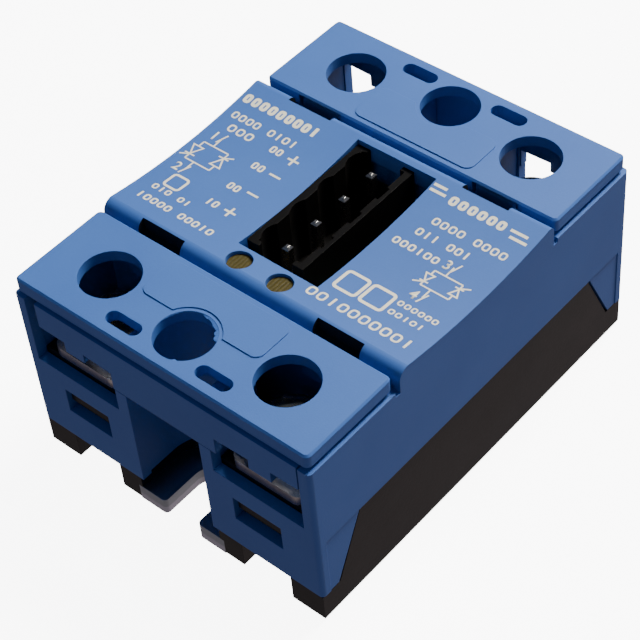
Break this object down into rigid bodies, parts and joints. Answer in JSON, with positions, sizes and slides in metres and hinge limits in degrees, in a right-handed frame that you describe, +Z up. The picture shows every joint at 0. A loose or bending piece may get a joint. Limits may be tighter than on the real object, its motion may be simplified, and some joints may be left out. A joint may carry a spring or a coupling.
{
  "type": "solid state relay",
  "caption": "Panel-mount solid state relay: blue shell over a black frame and metal plate, hinged terminal flaps, clamp screws, central plug socket and two indicators.",
  "frame": {"origin": "centre of the footprint on the mounting face", "axes": "+X across the width, +Y towards the rear end with the round mounting hole, +Z up"},
  "size_m": [0.045, 0.0584, 0.0288],
  "materials": {
    "plated_baseplate": "satin, milled",
    "black_frame_plastic": "fine matt",
    "blue_housing_plastic": "fine matt",
    "blue_cap_plastic": "fine matt",
    "nut_brass": "machined",
    "black_header_plastic": "fine satin",
    "tinned_pin": "bright tin",
    "board_laminate": "solder resist",
    "light_pipe_resin": "frosted",
    "led_resin": "clear",
    "chip_package": "moulded",
    "capacitor_case": "moulded",
    "resistor_ceramic": "glazed top",
    "copper": "bright",
    "white_ceramic": "fired",
    "silicon": "polished",
    "nickel_plated_bar": "satin nickel",
    "nickel_plated_washer": "satin nickel",
    "yellow_zinc_steel": "yellow zinc",
    "marking_ink": "printed, cream",
    "potting_gel": "soft clear gel"
  },
  "bodies": {
    "relay_body": {"baseplate": "plated_baseplate", "base_frame": "black_frame_plastic", "housing": "blue_housing_plastic", "terminal_bar_1": "nickel_plated_bar", "terminal_bar_2": "nickel_plated_bar", "terminal_bar_3": "nickel_plated_bar", "terminal_bar_4": "nickel_plated_bar", "terminal_nuts": "nut_brass", "control_header": "black_header_plastic", "header_pins": "tinned_pin", "control_board": "board_laminate", "light_pipe": "light_pipe_resin", "status_leds": "led_resin", "optocouplers": "chip_package", "snubber_capacitors": "capacitor_case", "chip_resistors": "resistor_ceramic", "bottom_copper": "copper", "ceramic_tile_a": "white_ceramic", "ceramic_tile_b": "white_ceramic", "top_copper": "copper", "thyristor_dies": "silicon", "cathode_clips": "copper", "gate_leads": "tinned_pin", "potting_resin": "potting_gel"},
    "front_flap": {"front_cap": "blue_cap_plastic"},
    "rear_flap": {"rear_cap": "blue_cap_plastic"},
    "washer_1": {"clamp_washer_1": "nickel_plated_washer"},
    "screw_1": {"terminal_screw_1": "yellow_zinc_steel"},
    "washer_2": {"clamp_washer_2": "nickel_plated_washer"},
    "screw_2": {"terminal_screw_2": "yellow_zinc_steel"},
    "washer_3": {"clamp_washer_3": "nickel_plated_washer"},
    "screw_3": {"terminal_screw_3": "yellow_zinc_steel"},
    "washer_4": {"clamp_washer_4": "nickel_plated_washer"},
    "screw_4": {"terminal_screw_4": "yellow_zinc_steel"}
  },
  "joints": [
    {"name": "front_flap_hinge", "type": "hinge", "parent": "relay_body", "child": "front_flap", "pos_m": [0, -0.0159, 0.0273], "axis": [-1, 0, 0], "range_deg": [0, 90]},
    {"name": "rear_flap_hinge", "type": "hinge", "parent": "relay_body", "child": "rear_flap", "pos_m": [0, 0.0159, 0.0273], "axis": [1, 0, 0], "range_deg": [0, 90]},
    {"name": "washer_1_lift", "type": "slide", "parent": "relay_body", "child": "washer_1", "axis": [0, 0, 1], "range_m": [0, 0.004]},
    {"name": "screw_1_turn", "type": "hinge", "parent": "washer_1", "child": "screw_1", "pos_m": [-0.01345, -0.022, 0.0193], "axis": [0, 0, 1], "range_deg": [0, 1800]},
    {"name": "washer_2_lift", "type": "slide", "parent": "relay_body", "child": "washer_2", "axis": [0, 0, 1], "range_m": [0, 0.004]},
    {"name": "screw_2_turn", "type": "hinge", "parent": "washer_2", "child": "screw_2", "pos_m": [0.01345, -0.022, 0.0193], "axis": [0, 0, 1], "range_deg": [0, 1800]},
    {"name": "washer_3_lift", "type": "slide", "parent": "relay_body", "child": "washer_3", "axis": [0, 0, 1], "range_m": [0, 0.004]},
    {"name": "screw_3_turn", "type": "hinge", "parent": "washer_3", "child": "screw_3", "pos_m": [-0.01345, 0.022, 0.0193], "axis": [0, 0, 1], "range_deg": [0, 1800]},
    {"name": "washer_4_lift", "type": "slide", "parent": "relay_body", "child": "washer_4", "axis": [0, 0, 1], "range_m": [0, 0.004]},
    {"name": "screw_4_turn", "type": "hinge", "parent": "washer_4", "child": "screw_4", "pos_m": [0.01345, 0.022, 0.0193], "axis": [0, 0, 1], "range_deg": [0, 1800]}
  ],
  "couplings": [
    {"joint": "screw_1_turn", "follows": "washer_1_lift", "rad_per_m": 7854},
    {"joint": "screw_2_turn", "follows": "washer_2_lift", "rad_per_m": 7854},
    {"joint": "screw_3_turn", "follows": "washer_3_lift", "rad_per_m": 7854},
    {"joint": "screw_4_turn", "follows": "washer_4_lift", "rad_per_m": 7854}
  ]
}
